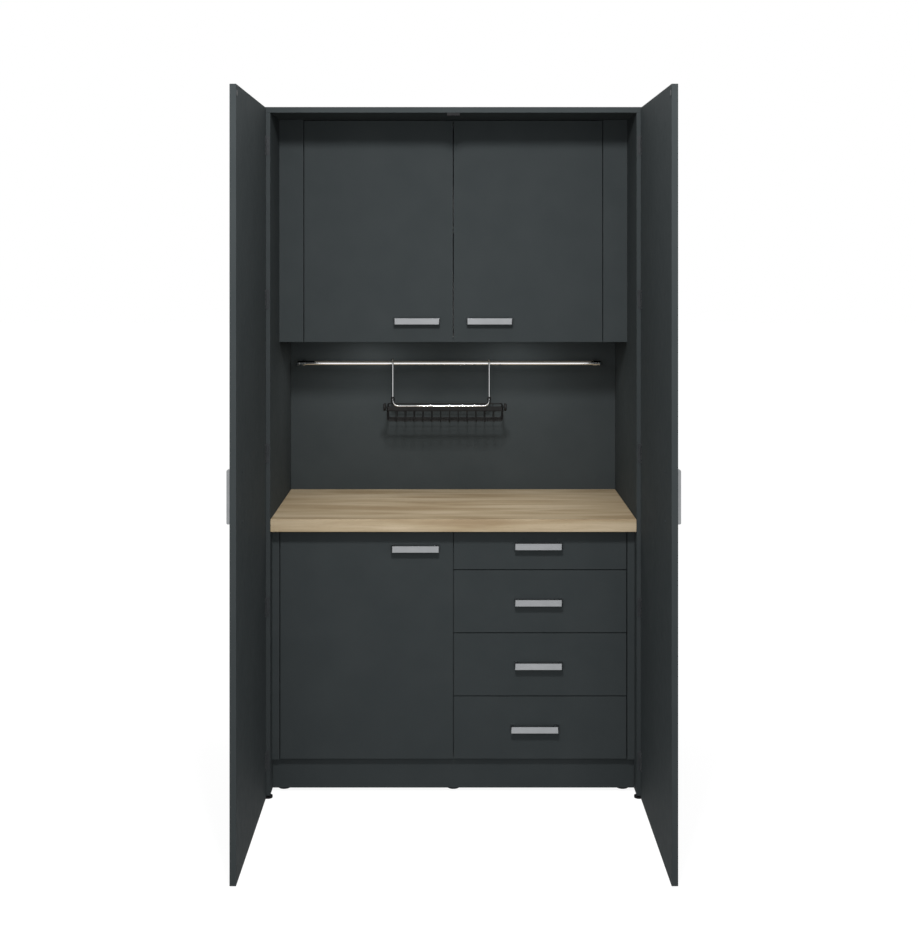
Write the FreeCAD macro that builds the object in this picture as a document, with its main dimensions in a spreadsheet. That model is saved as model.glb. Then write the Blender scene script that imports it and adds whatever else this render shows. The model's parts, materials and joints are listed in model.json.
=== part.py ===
import FreeCAD, Part
import os
import re

import Sketcher

# Kitchenette unit behind two tall doors. X runs along its width, Y from front to back, Z up.
# The rest pose has the tall doors open at a right angle and everything else closed.
# The origin is on the floor, in the middle of the unit as it stands with its tall doors open.
# Every size is a length in millimetres.

SIZES = {
    # Housing
    "housing_width": 1200,
    "housing_height": 2200,
    "housing_depth": 580,
    "housing_board": 18,
    "housing_back_board": 8,
    "splash_board": 17,
    "glide_height": 12,
    "glide_radius": 14.5,
    "glide_disc": 6,
    "glide_neck_radius": 7,
    "glide_inset": 20,
    # Fronts and the gaps round them
    "front_board": 18,
    "door_gap": 3,
    "front_gap": 3,
    # Worktop
    "worktop_top": 890,
    "worktop_board": 40,
    # Cabinets
    "cabinet_board": 16,
    "cabinet_back_board": 5,
    "niche_height": 549,
    "upper_filler": 82,
    "upper_setback": 229,
    "base_filler": 25,
    "base_setback": 46,
    "base_bottom": 110,
    "base_rail_width": 80,
    "shelf_setback": 20,
    "shelf_play": 1,
    "angle_leg": 15,
    "angle_board": 1.5,
    "angle_inset": 60,
    "batten_board": 18,
    # Plinth and the feet behind it
    "plinth_setback": 66,
    "plinth_board": 16,
    "plinth_floor_gap": 12,
    "foot_radius": 20,
    "foot_disc": 6,
    "leg_radius": 12,
    "leg_plate_radius": 22,
    "leg_plate": 5,
    "foot_plinth_gap": 24,
    "foot_back_inset": 40,
    # Tall doors
    "tall_board": 18,
    "tall_floor_gap": 5,
    "tall_top_reveal": 2,
    "tall_side_reveal": 1,
    "tall_front_gap": 3,
    "pivot_inset": 4,
    "pivot_forward": 4,
    # Knuckle hinges of the tall doors
    "hinge_length": 60,
    "hinge_end_inset": 90,
    "knuckle_radius": 3,
    "hinge_pin_radius": 1.5,
    "hinge_pin_head_radius": 2.5,
    "hinge_pin_head": 1.5,
    "leaf_board": 1.5,
    "frame_leaf_reach": 12,
    "door_leaf_reach": 21,
    "running_clearance": 0.05,
    "hinge_play": 0.5,
    # Catch at the top of the housing and its strikes on the tall doors
    "catch_width": 41,
    "catch_depth": 14,
    "catch_height": 9,
    "strike_side": 15,
    "strike_board": 1.2,
    "strike_edge_gap": 3.5,
    # Concealed hinges of the cabinet doors
    "cup_radius": 17.4,
    "cup_bore_play": 0.1,
    "cup_wall": 1,
    "cup_depth": 13.5,
    "cup_bottom": 0.5,
    "cup_edge": 20.5,
    "cup_flange_width": 20,
    "cup_flange_length": 52,
    "cup_flange_board": 1,
    "cup_pin_edge": 8,
    "cup_pin_depth": 11,
    "cup_pin_radius": 1,
    "cup_pin_length": 21,
    "arm_knuckle_radius": 1.8,
    "arm_leg_board": 2.4,
    "arm_width": 12,
    "arm_board": 3,
    "arm_standoff": 6.5,
    "arm_plate_setback": 20,
    "arm_plate_length": 40,
    "arm_plate_width": 30,
    "cup_hinge_inset": 100,
    # Drawers and their slides
    "top_drawer_height": 126,
    "drawer_board": 12,
    "drawer_bottom_board": 6,
    "drawer_bottom_rise": 8,
    "drawer_back_gap": 33,
    "drawer_box_rise": 25,
    "drawer_box_drop": 40,
    "slide_width": 12.5,
    "slide_height": 35,
    "slide_back_gap": 17,
    "slide_board": 1.2,
    "slide_lip": 8,
    "slide_rise": 28,
    "slide_bar_height": 25,
    "slide_play": 0.3,
    # Bow handles
    "handle_length": 153,
    "handle_width": 20,
    "handle_projection": 25,
    "handle_bar": 10,
    "handle_leg": 12,
    "handle_corner": 4,
    "handle_edge": 45,
    "upper_handle_rise": 70,
    "base_handle_drop": 57,
    "drawer_handle_shift": 6,
    "bottom_drawer_handle_shift": 18,
    "top_drawer_handle_lift": 14,
    "tall_handle_height": 1050,
    "tall_handle_edge": 110,
    # Rail on the splashback
    "rail_drop": 93,
    "rail_radius": 8,
    "rail_left_gap": 36.5,
    "rail_right_gap": 65.5,
    "rail_wall_gap": 45,
    "bracket_inset": 13,
    "bracket_ring_radius": 10,
    "bracket_ring_width": 14,
    "bracket_ring_play": 0.1,
    "bracket_post_radius": 5,
    "rosette_radius": 9,
    "rosette_board": 4,
    "rail_cap_radius": 9.5,
    "rail_cap_collar": 4,
    # Hanging shelf: a wire frame that hooks over the rail and carries a basket
    "hook_left": 214,
    "hook_right": 128,
    "frame_drop": 151,
    "frame_wire_radius": 3.5,
    "frame_corner": 20,
    "hook_clearance": 0.3,
    "hook_drop": 14,
    "basket_left": 233,
    "basket_right": 176,
    "basket_depth": 126,
    "basket_height": 55,
    "basket_rim_rise": 10,
    "basket_wire": 4,
    "knob_radius": 13,
    "knob_length": 9,
    "knob_overhang": 4,
    # Tools that cut run past the face that they cut by this much
    "overrun": 5,
}

HINGE_COUNT = 5
BASKET_BAYS = 13
BASKET_SIDE_BAYS = 5

doc = FreeCAD.newDocument("kitchenette_unit")
sheet = doc.addObject("Spreadsheet::Sheet", "Sizes")
for row, (name, value) in enumerate(SIZES.items(), start=1):
    sheet.set(f"A{row}", name)
    sheet.set(f"B{row}", str(value))
    sheet.setAlias(f"B{row}", name)
doc.recompute()

nodes = []

# Places that several pieces share, in the names of the sheet

HALF_WIDTH = "(housing_width / 2)"
SIDE_INNER = "(housing_width / 2 - housing_board)"
TALL_REACH = "(pivot_forward + housing_width / 2 - pivot_inset - door_gap / 2)"
FRONT = f"(({TALL_REACH} - housing_depth) / 2)"
BACK_FACE = "(housing_depth - housing_back_board)"
SPLASH_FACE = f"({BACK_FACE} - splash_board)"
TOP_UNDERSIDE = "(housing_height - housing_board)"
WORKTOP_UNDERSIDE = "(worktop_top - worktop_board)"
UPPER_BOTTOM = "(worktop_top + niche_height)"
UPPER_HALF = f"({SIDE_INNER} - upper_filler)"
BASE_HALF = f"({SIDE_INNER} - base_filler)"
UPPER_CARCASS = "(upper_setback + front_board + front_gap)"
BASE_CARCASS = "(base_setback + front_board + front_gap)"
CARCASS_BACK = f"({BACK_FACE} - cabinet_back_board)"
PIVOT_X = "(housing_width / 2 - pivot_inset)"
PIVOT_Y = f"({FRONT} - pivot_forward)"
TALL_INNER = f"({PIVOT_X} - pivot_forward + tall_front_gap)"
TALL_TOP = "(housing_height - tall_top_reveal)"
RAIL_LEFT = f"({SIDE_INNER} - rail_left_gap)"
RAIL_RIGHT = f"({SIDE_INNER} - rail_right_gap)"
RAIL_Y = f"({FRONT} + {SPLASH_FACE} - rail_wall_gap)"
RAIL_Z = f"({UPPER_BOTTOM} - rail_drop)"
FRAME_BOTTOM = f"({RAIL_Z} - frame_drop)"
BASKET_TOP = f"({FRAME_BOTTOM} + basket_rim_rise)"
BASKET_BOTTOM = f"({BASKET_TOP} - basket_height)"
HOOK_RADIUS = "(rail_radius + hook_clearance + frame_wire_radius)"


def bind(text):
    """The expression with each name of the sheet made a reference to its cell."""
    return re.sub(r"[a-z][a-z0-9_]*", lambda found: f"Sizes.{found.group()}", text)


def deep(start, end):
    """A span in Y, given as depths behind the housing's front plane."""
    return f"{FRONT} + {start}", f"{FRONT} + {end}"


def sided(side, start, end):
    """A span in X on the right of the middle, or its mirror image on the left."""
    return (start, end) if side > 0 else (f"-({end})", f"-({start})")


def place(obj, x, y, z):
    for axis, text in zip("xyz", (x, y, z)):
        obj.setExpression(f"Placement.Base.{axis}", bind(text))


def node(obj):
    """Marks an object as a sub-part of its own."""
    nodes.append(obj)
    return obj


def board(label, across, along, upright):
    """A rectangular board between two places on each axis."""
    box = doc.addObject("Part::Box", label)
    for name, (start, end) in zip(("Length", "Width", "Height"), (across, along, upright)):
        box.setExpression(name, bind(f"({end}) - ({start})"))
    place(box, across[0], along[0], upright[0])
    return box


def rod(label, radius, length, x, y, z, direction=(0, 0, 1)):
    """A round rod that starts at a place and runs along one axis."""
    cylinder = doc.addObject("Part::Cylinder", label)
    turn = FreeCAD.Rotation(FreeCAD.Vector(0, 0, 1), FreeCAD.Vector(*direction))
    cylinder.Placement = FreeCAD.Placement(FreeCAD.Vector(), turn)
    cylinder.setExpression("Radius", bind(radius))
    cylinder.setExpression("Height", bind(length))
    place(cylinder, x, y, z)
    return cylinder


def group(label, pieces):
    """Separate solids that share one node."""
    compound = doc.addObject("Part::Compound", label)
    compound.Links = pieces
    return compound


def cut(label, base, tools):
    result = doc.addObject("Part::Cut", label)
    result.Base = base
    result.Tool = group(f"{label}_tools", tools)
    return result


def fuse(label, pieces):
    result = doc.addObject("Part::MultiFuse", label)
    result.Shapes = pieces
    result.Refine = True
    return result


def outline(body, label, plane, points):
    """A closed sketch through points, each bound to the sheet. No point is left of or below zero."""
    sketch = body.newObject("Sketcher::SketchObject", label)
    role = next(f for f in body.Origin.OriginFeatures if f.Role == plane)
    sketch.AttachmentSupport = (role, [""])
    sketch.MapMode = "FlatFace"
    count = len(points)
    start = [FreeCAD.Vector(i, i * i, 0) for i in range(count)]
    for i in range(count):
        sketch.addGeometry(Part.LineSegment(start[i], start[(i + 1) % count]), False)
    for i in range(count):
        sketch.addConstraint(Sketcher.Constraint("Coincident", i, 2, (i + 1) % count, 1))
    for i, (x, y) in enumerate(points):
        for kind, text, axis in (("DistanceX", x, -2), ("DistanceY", y, -1)):
            if text == "0":
                sketch.addConstraint(Sketcher.Constraint("PointOnObject", i, 1, axis))
            else:
                index = sketch.addConstraint(Sketcher.Constraint(kind, -1, 1, i, 1, 1 + i))
                sketch.setExpression(f"Constraints[{index}]", bind(text))
    return sketch


def turned(label, points):
    """A round piece about its own Z axis, from its half outline."""
    body = doc.addObject("PartDesign::Body", label)
    sketch = outline(body, f"{label}_outline", "XZ_Plane", points)
    turn = body.newObject("PartDesign::Revolution", f"{label}_turn")
    turn.Profile = sketch
    turn.ReferenceAxis = (sketch, ["V_Axis"])
    turn.Angle = 360
    body.Tip = turn
    return body


# Housing


def make_housing():
    sides = {"left": -1, "right": 1}
    upright = ("glide_height", TOP_UNDERSIDE)
    for name, side in sides.items():
        across = sided(side, SIDE_INNER, HALF_WIDTH)
        node(board(f"housing_side_{name}", across, deep("0", "housing_depth"), upright))
    across = (f"-{HALF_WIDTH}", HALF_WIDTH)
    node(board("housing_top", across, deep("0", "housing_depth"), (TOP_UNDERSIDE, "housing_height")))
    across = (f"-{SIDE_INNER}", SIDE_INNER)
    node(board("housing_back", across, deep(BACK_FACE, "housing_depth"), upright))
    node(board("splashback", across, deep(SPLASH_FACE, BACK_FACE), (WORKTOP_UNDERSIDE, UPPER_BOTTOM)))
    node(board("worktop", across, deep("0", SPLASH_FACE), (WORKTOP_UNDERSIDE, "worktop_top")))


def make_glides():
    points = [
        ("0", "0"),
        ("glide_radius", "0"),
        ("glide_radius", "glide_disc"),
        ("glide_neck_radius", "glide_disc"),
        ("glide_neck_radius", "glide_height"),
        ("0", "glide_height"),
    ]
    pieces = []
    for x in ("-(housing_width - housing_board) / 2", "(housing_width - housing_board) / 2"):
        for depth in ("glide_inset", "housing_depth - glide_inset"):
            glide = turned(f"glide_{len(pieces) + 1}", points)
            place(glide, x, f"{FRONT} + {depth}", "0")
            pieces.append(glide)
    node(group("housing_glides", pieces))


# Tall doors


def hinge_bottom(index):
    """The lower end of one of the tall door's hinges, spread evenly between its two end ones."""
    low = "(tall_floor_gap + hinge_end_inset)"
    high = f"({TALL_TOP} - hinge_end_inset - hinge_length)"
    return f"({low} + ({high} - {low}) * {index} / {HINGE_COUNT - 1})"


def knuckle(label, side, start, length):
    return rod(label, "knuckle_radius", length, f"{side} * {PIVOT_X}", PIVOT_Y, start)


def make_tall_door(name, side):
    hinge_edge = f"{PIVOT_Y} + pivot_inset - tall_side_reveal"
    free_edge = f"{FRONT} - {TALL_REACH}"
    outer = f"{TALL_INNER} + tall_board"
    upright = ("tall_floor_gap", TALL_TOP)
    blank = board(f"{name}_blank", sided(side, TALL_INNER, outer), (free_edge, hinge_edge), upright)
    room = "(knuckle_radius + hinge_play)"
    leaf_across = sided(side, TALL_INNER, f"{TALL_INNER} + leaf_board")
    tools, leaves = [], []
    for i in range(HINGE_COUNT):
        low = hinge_bottom(i)
        high = f"{low} + hinge_length"
        across = sided(side, f"{TALL_INNER} - overrun", f"{PIVOT_X} + {room}")
        along = (f"{PIVOT_Y} - {room}", f"{hinge_edge} + overrun")
        span = (f"{low} - hinge_pin_head - hinge_play", f"{high} + hinge_pin_head + hinge_play")
        tools.append(board(f"{name}_notch_{i}", across, along, span))
        along = (f"{PIVOT_Y} - door_leaf_reach", f"{PIVOT_Y} - {room}")
        across = sided(side, f"{TALL_INNER} - overrun", f"{TALL_INNER} + leaf_board")
        tools.append(board(f"{name}_mortise_{i}", across, along, (low, high)))
        plate = board(f"{name}_leaf_plate_{i}", leaf_across, along, (low, high))
        start = f"({low} + hinge_length / 3 + hinge_play)"
        end = f"({low} + hinge_length * 2 / 3 - hinge_play)"
        along = (f"{PIVOT_Y} - {room}", f"{PIVOT_Y} - hinge_pin_radius")
        tab = board(f"{name}_leaf_tab_{i}", leaf_across, along, (start, end))
        barrel = knuckle(f"{name}_leaf_barrel_{i}", side, start, f"{end} - {start}")
        leaf = fuse(f"{name}_leaf_blank_{i}", [plate, tab, barrel])
        bore = rod(
            f"{name}_leaf_bore_{i}",
            "hinge_pin_radius + running_clearance",
            "hinge_length",
            f"{side} * {PIVOT_X}",
            PIVOT_Y,
            low,
        )
        leaves.append(cut(f"{name}_leaf_{i}", leaf, [bore]))
    node(cut(name, blank, tools))
    node(group(f"{name}_hinge_leaves", leaves))
    middle = f"({PIVOT_Y} - {PIVOT_X} + door_gap / 2 + strike_edge_gap)"
    node(
        board(
            f"{name}_strike",
            sided(side, f"{TALL_INNER} - strike_board", TALL_INNER),
            (middle, f"{middle} + strike_side"),
            (f"{TOP_UNDERSIDE} - strike_side", TOP_UNDERSIDE),
        )
    )


def make_tall_hinge_frames():
    leaves, pins = [], []
    for side in (-1, 1):
        for i in range(HINGE_COUNT):
            label = f"frame_leaf_{'left' if side < 0 else 'right'}_{i}"
            low = hinge_bottom(i)
            high = f"({low} + hinge_length)"
            third = "hinge_length / 3"
            x = f"{side} * {PIVOT_X}"
            across = sided(side, f"{PIVOT_X} - frame_leaf_reach", f"{PIVOT_X} - knuckle_radius")
            pieces = [board(f"{label}_plate", across, deep("-leaf_board", "0"), (low, high))]
            across = sided(side, f"{PIVOT_X} - knuckle_radius", PIVOT_X)
            along = (f"{PIVOT_Y} + hinge_pin_radius", FRONT)
            for part, start in (("lower", low), ("upper", f"{high} - {third}")):
                pieces.append(board(f"{label}_{part}_tab", across, along, (start, f"{start} + {third}")))
                pieces.append(knuckle(f"{label}_{part}_barrel", side, start, third))
            blank = fuse(f"{label}_blank", pieces)
            bore_radius = "hinge_pin_radius + running_clearance"
            bore = rod(f"{label}_bore", bore_radius, "hinge_length", x, PIVOT_Y, low)
            leaves.append(cut(label, blank, [bore]))
            shank = rod(f"{label}_pin_shank", "hinge_pin_radius", "hinge_length", x, PIVOT_Y, low)
            foot = f"{low} - hinge_pin_head"
            heads = [
                rod(f"{label}_pin_{part}", "hinge_pin_head_radius", "hinge_pin_head", x, PIVOT_Y, z)
                for part, z in (("foot", foot), ("head", high))
            ]
            pins.append(fuse(f"{label}_pin", [shank, *heads]))
    node(group("tall_hinge_frame_leaves", leaves))
    node(group("tall_hinge_pins", pins))
    across = ("-catch_width / 2", "catch_width / 2")
    upright = (f"{TOP_UNDERSIDE} - catch_height", TOP_UNDERSIDE)
    node(board("door_catch", across, deep("0", "catch_depth"), upright))


# Cabinets


def make_fillers():
    pieces = []
    for side, name in ((-1, "left"), (1, "right")):
        for part, edge, setback, low, high in (
            ("upper", UPPER_HALF, "upper_setback", UPPER_BOTTOM, TOP_UNDERSIDE),
            ("base", BASE_HALF, "base_setback", "base_bottom", WORKTOP_UNDERSIDE),
        ):
            strip = sided(side, f"{edge} + door_gap / 2", SIDE_INNER)
            along = deep(setback, f"{setback} + front_board")
            pieces.append(board(f"filler_{part}_{name}", strip, along, (low, high)))
            batten = sided(side, edge, SIDE_INNER)
            along = deep(f"{setback} + front_board", f"{setback} + front_board + batten_board")
            pieces.append(board(f"batten_{part}_{name}", batten, along, (low, high)))
    node(group("filler_strips", pieces))


def make_upper_cabinet():
    whole = deep(UPPER_CARCASS, BACK_FACE)
    upright = (UPPER_BOTTOM, TOP_UNDERSIDE)
    inner = f"({UPPER_HALF} - cabinet_board)"
    across = (f"-{inner}", inner)
    sides = [
        board(f"upper_side_{name}", sided(side, inner, UPPER_HALF), whole, upright)
        for name, side in (("left", -1), ("right", 1))
    ]
    node(group("upper_sides", sides))
    decks = [
        board("upper_deck_top", across, whole, (f"{TOP_UNDERSIDE} - cabinet_board", TOP_UNDERSIDE)),
        board("upper_deck_bottom", across, whole, (UPPER_BOTTOM, f"{UPPER_BOTTOM} + cabinet_board")),
    ]
    node(group("upper_decks", decks))
    upright = (f"{UPPER_BOTTOM} + cabinet_board", f"{TOP_UNDERSIDE} - cabinet_board")
    return board("upper_back", across, deep(CARCASS_BACK, BACK_FACE), upright)


def make_base_cabinets():
    whole = deep(BASE_CARCASS, BACK_FACE)
    sides, bottoms, rails, backs = [], [], [], []
    for name, side in (("left", -1), ("right", 1)):
        across = sided(side, "cabinet_board", f"{BASE_HALF} - cabinet_board")
        upright = ("base_bottom", WORKTOP_UNDERSIDE)
        sides.append(board(f"base_{name}_inner_side", sided(side, "0", "cabinet_board"), whole, upright))
        outer = sided(side, f"{BASE_HALF} - cabinet_board", BASE_HALF)
        sides.append(board(f"base_{name}_outer_side", outer, whole, upright))
        upright = ("base_bottom", "base_bottom + cabinet_board")
        bottoms.append(board(f"base_{name}_bottom", across, whole, upright))
        upright = (f"{WORKTOP_UNDERSIDE} - cabinet_board", WORKTOP_UNDERSIDE)
        for part, start in (
            ("front", BASE_CARCASS),
            ("back", f"{CARCASS_BACK} - base_rail_width"),
        ):
            along = deep(start, f"{start} + base_rail_width")
            rails.append(board(f"base_{name}_{part}_rail", across, along, upright))
        upright = ("base_bottom + cabinet_board", WORKTOP_UNDERSIDE)
        along = deep(CARCASS_BACK, BACK_FACE)
        backs.append(board(f"base_{name}_back", across, along, upright))
    node(group("base_sides", sides))
    node(group("base_bottoms", bottoms))
    node(group("base_rails", rails))
    return backs


def shelf_angle(label, side, wall, y, top):
    """One small steel angle: a leg on the cabinet's side and a leg under the shelf."""
    along = (y, f"{y} + angle_leg")
    upright_leg = sided(side, f"{wall} - angle_board", wall)
    level_leg = sided(side, f"{wall} - angle_leg", wall)
    pieces = [
        board(f"{label}_upright_leg", upright_leg, along, (f"{top} - angle_leg", top)),
        board(f"{label}_level_leg", level_leg, along, (f"{top} - angle_board", top)),
    ]
    return fuse(label, pieces)


def make_shelves():
    """A shelf halfway up each of the two cabinets that have one."""
    upper_inner = f"({UPPER_HALF} - cabinet_board)"
    base_inner = f"({BASE_HALF} - cabinet_board)"
    shelves, angles = [], []
    for name, left, right, carcass, bottom, top in (
        ("upper", f"-{upper_inner}", upper_inner, UPPER_CARCASS, UPPER_BOTTOM, TOP_UNDERSIDE),
        ("base", f"-{base_inner}", "-cabinet_board", BASE_CARCASS, "base_bottom", WORKTOP_UNDERSIDE),
    ):
        low = f"(({bottom} + {top} - cabinet_board) / 2)"
        across = (f"{left} + shelf_play", f"{right} - shelf_play")
        along = deep(f"{carcass} + shelf_setback", CARCASS_BACK)
        shelves.append(board(f"{name}_shelf", across, along, (low, f"{low} + cabinet_board")))
        for part, wall, side in (("left", f"(-({left}))", -1), ("right", f"({right})", 1)):
            for i, depth in enumerate(
                (f"{carcass} + shelf_setback + angle_inset", f"{CARCASS_BACK} - angle_inset - angle_leg")
            ):
                angles.append(shelf_angle(f"{name}_angle_{part}_{i}", side, wall, f"{FRONT} + {depth}", low))
    node(group("shelf_boards", shelves))
    node(group("shelf_angles", angles))


def make_plinth():
    across = (f"-{SIDE_INNER}", SIDE_INNER)
    along = deep("plinth_setback", "plinth_setback + plinth_board")
    node(board("plinth", across, along, ("plinth_floor_gap", "base_bottom")))
    points = [
        ("0", "0"),
        ("foot_radius", "0"),
        ("foot_radius", "foot_disc"),
        ("leg_radius", "foot_disc + foot_radius - leg_radius"),
        ("leg_radius", "base_bottom - leg_plate"),
        ("leg_plate_radius", "base_bottom - leg_plate"),
        ("leg_plate_radius", "base_bottom"),
        ("0", "base_bottom"),
    ]
    pieces = []
    outer = f"({BASE_HALF} - cabinet_board / 2)"
    for x in (f"-{outer}", "0", outer):
        for depth in (
            "plinth_setback + plinth_board + foot_plinth_gap",
            f"{BACK_FACE} - foot_back_inset",
        ):
            foot = turned(f"foot_{len(pieces) + 1}", points)
            place(foot, x, f"{FRONT} + {depth}", "0")
            pieces.append(foot)
    node(group("base_feet", pieces))


# Cabinet doors with their concealed hinges


def make_cabinet_door(name, side, edge, free, setback, low, high):
    """A door whose hinge edge is at |X| = edge on its side and whose free edge is at |X| = free.
    Its hinges turn about a pin in each cup, deep in the door. Returns the arms of the hinges."""
    inner = f"({FRONT} + {setback} + front_board)"
    blank = board(
        f"{name}_blank",
        sided(side, free, edge),
        (f"{FRONT} + {setback}", inner),
        (low, high),
    )
    cup_x = f"{side} * ({edge} - cup_edge)"
    pin_x = f"{side} * ({edge} - cup_pin_edge)"
    pin_y = f"({inner} - cup_pin_depth)"
    wall = f"({edge} + door_gap / 2 - cabinet_board)"
    strap = sided(side, f"{wall} - arm_standoff - arm_board", f"{wall} - arm_standoff")
    bores, cups, arms = [], [], []
    for i, z in enumerate((f"({low} + cup_hinge_inset)", f"({high} - cup_hinge_inset)")):
        label = f"{name}_hinge_{i}"
        start = f"{inner} - cup_depth"
        bore_radius = "cup_radius + cup_bore_play"
        depth = "cup_depth + overrun"
        bores.append(rod(f"{label}_bore", bore_radius, depth, cup_x, start, z, (0, 1, 0)))
        shell = rod(f"{label}_shell", "cup_radius", "cup_depth", cup_x, start, z, (0, 1, 0))
        flange = board(
            f"{label}_flange",
            (f"{cup_x} - cup_flange_width / 2", f"{cup_x} + cup_flange_width / 2"),
            (inner, f"{inner} + cup_flange_board"),
            (f"{z} - cup_flange_length / 2", f"{z} + cup_flange_length / 2"),
        )
        hollow_start = f"{start} + cup_bottom"
        hollow = rod(
            f"{label}_hollow", "cup_radius - cup_wall", depth, cup_x, hollow_start, z, (0, 1, 0)
        )
        pin_low = f"({z} - cup_pin_length / 2)"
        pin_hole_radius = "cup_pin_radius + running_clearance"
        pin_hole = rod(f"{label}_pin_hole", pin_hole_radius, "cup_pin_length", pin_x, pin_y, pin_low)
        cups.append(cut(f"{label}_cup", fuse(f"{label}_pressing", [shell, flange]), [hollow, pin_hole]))
        cups.append(rod(f"{label}_pin", "cup_pin_radius", "cup_pin_length", pin_x, pin_y, pin_low))
        arm_low = f"({z} - arm_width / 2)"
        arm_high = f"({z} + arm_width / 2)"
        plate_start = f"{inner} + front_gap + arm_plate_setback"
        leg = sided(side, f"{wall} - arm_standoff - arm_board", f"{edge} - cup_pin_edge")
        leg_along = (f"{pin_y} - arm_leg_board / 2", f"{pin_y} + arm_leg_board / 2")
        plate_upright = (f"{z} - arm_plate_width / 2", f"{z} + arm_plate_width / 2")
        pieces = [
            board(
                f"{label}_plate",
                sided(side, f"{wall} - arm_standoff", wall),
                (plate_start, f"{plate_start} + arm_plate_length"),
                plate_upright,
            ),
            board(
                f"{label}_strap",
                strap,
                (leg_along[0], f"{plate_start} + arm_plate_length"),
                (arm_low, arm_high),
            ),
            board(f"{label}_leg", leg, leg_along, (arm_low, arm_high)),
            rod(f"{label}_eye", "arm_knuckle_radius", "arm_width", pin_x, pin_y, arm_low),
        ]
        eye_hole = rod(f"{label}_eye_hole", pin_hole_radius, "arm_width", pin_x, pin_y, arm_low)
        arms.append(cut(f"{label}_arm", fuse(f"{label}_arm_blank", pieces), [eye_hole]))
    node(cut(name, blank, bores))
    node(group(f"{name}_hinge_cups", cups))
    return arms


def make_cabinet_doors():
    half_gap = "door_gap / 2"
    edge = f"({UPPER_HALF} - {half_gap})"
    low = UPPER_BOTTOM
    high = f"{TOP_UNDERSIDE} - door_gap"
    arms = []
    for name, side in (("left", -1), ("right", 1)):
        arms += make_cabinet_door(
            f"upper_door_{name}", side, edge, half_gap, "upper_setback", low, f"({high})"
        )
    edge = f"({BASE_HALF} - {half_gap})"
    low = "(base_bottom + door_gap)"
    high = f"({WORKTOP_UNDERSIDE} - door_gap)"
    arms += make_cabinet_door("base_door", -1, edge, half_gap, "base_setback", low, high)
    node(group("concealed_hinge_arms", arms))


# Drawers, numbered from the top


def drawer_span(index):
    """The lower and upper edges of a drawer's front. The ones under the top one share its height."""
    top = f"({WORKTOP_UNDERSIDE} - door_gap)"
    bottom = "(base_bottom + door_gap)"
    rest = f"(({top} - {bottom} - top_drawer_height) / 3)"
    if index == 0:
        return f"({top} - top_drawer_height)", top
    high = f"({top} - top_drawer_height - {index - 1} * {rest} - door_gap)"
    return f"({high} - {rest} + door_gap)", high


def make_drawer(index):
    """One drawer. Returns the two members of its slides that are fixed to the cabinet."""
    name = f"drawer_{index + 1}"
    low, high = drawer_span(index)
    along = deep("base_setback", "base_setback + front_board")
    across = ("door_gap / 2", f"{BASE_HALF} - door_gap / 2")
    node(board(f"{name}_front", across, along, (low, high)))
    wall = ("cabinet_board", f"({BASE_HALF} - cabinet_board)")
    left = f"({wall[0]} + slide_width)"
    right = f"({wall[1]} - slide_width)"
    box_low = f"({low} + drawer_box_rise)"
    upright = (box_low, f"{high} - drawer_box_drop")
    start = f"({FRONT} + base_setback + front_board)"
    end = f"({FRONT} + {CARCASS_BACK} - drawer_back_gap)"
    inner = (f"{left} + drawer_board", f"{right} - drawer_board")
    floor = (f"{box_low} + drawer_bottom_rise", f"{box_low} + drawer_bottom_rise + drawer_bottom_board")
    above = (floor[1], upright[1])
    boards = [
        board(f"{name}_side_left", (left, inner[0]), (start, end), upright),
        board(f"{name}_side_right", (inner[1], right), (start, end), upright),
        board(f"{name}_inner_front", inner, (start, f"{start} + drawer_board"), above),
        board(f"{name}_inner_back", inner, (f"{end} - drawer_board", end), above),
        board(f"{name}_bottom", inner, (start, end), floor),
    ]
    node(group(f"{name}_box", boards))
    middle = f"({box_low} + slide_rise)"
    bar_upright = (f"{middle} - slide_bar_height / 2", f"{middle} + slide_bar_height / 2")
    slide_start = f"({FRONT} + {BASE_CARCASS})"
    length = (slide_start, f"({end} - slide_back_gap)")
    full = (f"{middle} - slide_height / 2", f"{middle} + slide_height / 2")
    hollow_upright = (f"{full[0]} + slide_board", f"{full[1]} - slide_board")
    web = "(slide_board + slide_play)"
    bars = [
        board(f"{name}_bar_left", (f"{wall[0]} + {web}", left), length, bar_upright),
        board(f"{name}_bar_right", (right, f"{wall[1]} - {web}"), length, bar_upright),
    ]
    node(group(f"{name}_slide_bars", bars))
    past = (f"{length[0]} - overrun", f"{length[1]} + overrun")
    channels = []
    for part, outer, hollow in (
        (
            "left",
            (wall[0], f"{wall[0]} + slide_board + slide_lip"),
            (f"{wall[0]} + slide_board", f"{wall[0]} + slide_board + slide_lip + overrun"),
        ),
        (
            "right",
            (f"{wall[1]} - slide_board - slide_lip", wall[1]),
            (f"{wall[1]} - slide_board - slide_lip - overrun", f"{wall[1]} - slide_board"),
        ),
    ):
        blank = board(f"{name}_channel_{part}_blank", outer, length, full)
        hollow = board(f"{name}_channel_{part}_hollow", hollow, past, hollow_upright)
        channels.append(cut(f"{name}_channel_{part}", blank, [hollow]))
    return channels


# Handles


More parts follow.
